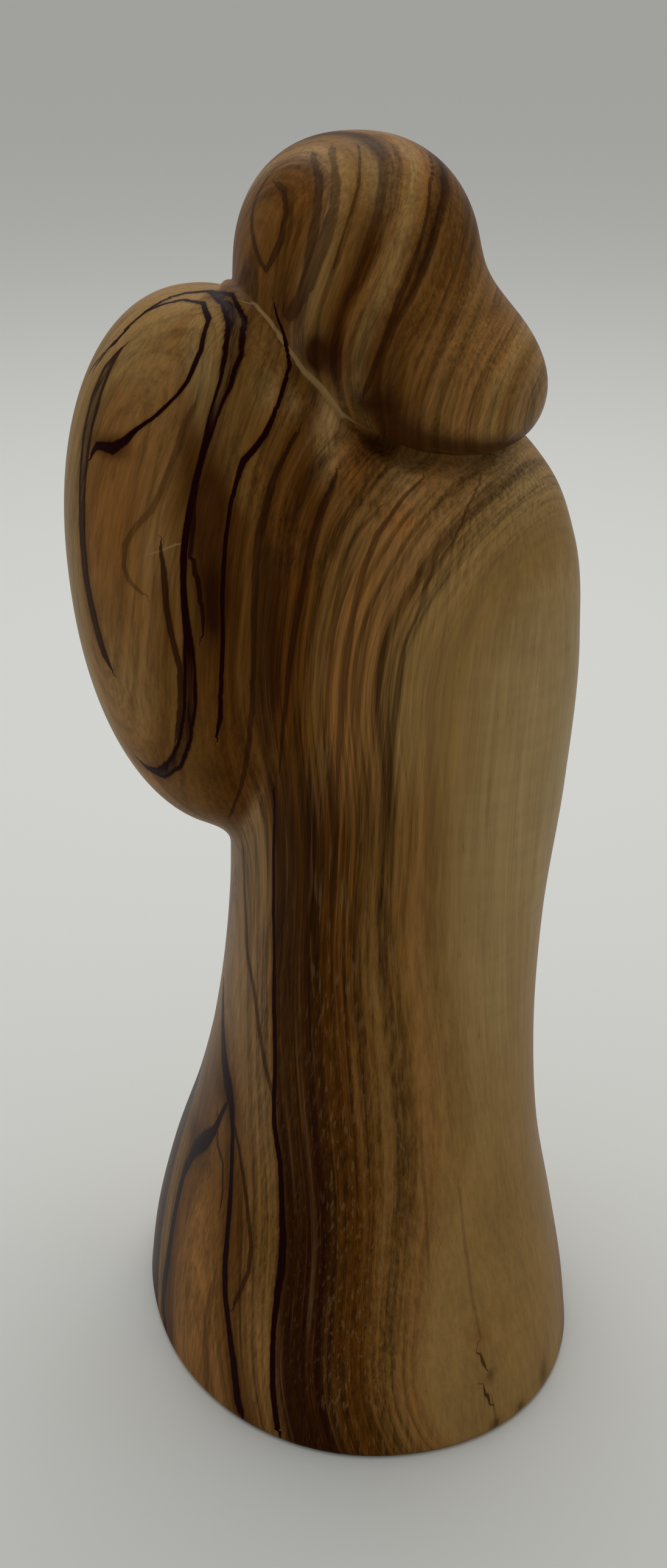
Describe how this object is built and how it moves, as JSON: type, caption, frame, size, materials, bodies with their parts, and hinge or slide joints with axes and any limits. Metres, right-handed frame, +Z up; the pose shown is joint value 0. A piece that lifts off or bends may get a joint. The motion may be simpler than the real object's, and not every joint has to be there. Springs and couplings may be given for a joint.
{
  "type": "holy family statue",
  "caption": "Smooth faceless family group carved from one block of figured wood, with rounded hoods and robes flowing into a flared oval foot.",
  "frame": {"origin": "centre of the oval foot's flat underside", "axes": "+Z up the statue, -Y towards its front, where the faces and the child are, +X towards the smaller figure"},
  "size_m": [0.0805, 0.096, 0.2],
  "materials": {
    "olive_wood": "waxed, satin, strongly figured"
  },
  "bodies": {
    "root": {"holy_family_carving": "olive_wood"}
  },
  "joints": []
}
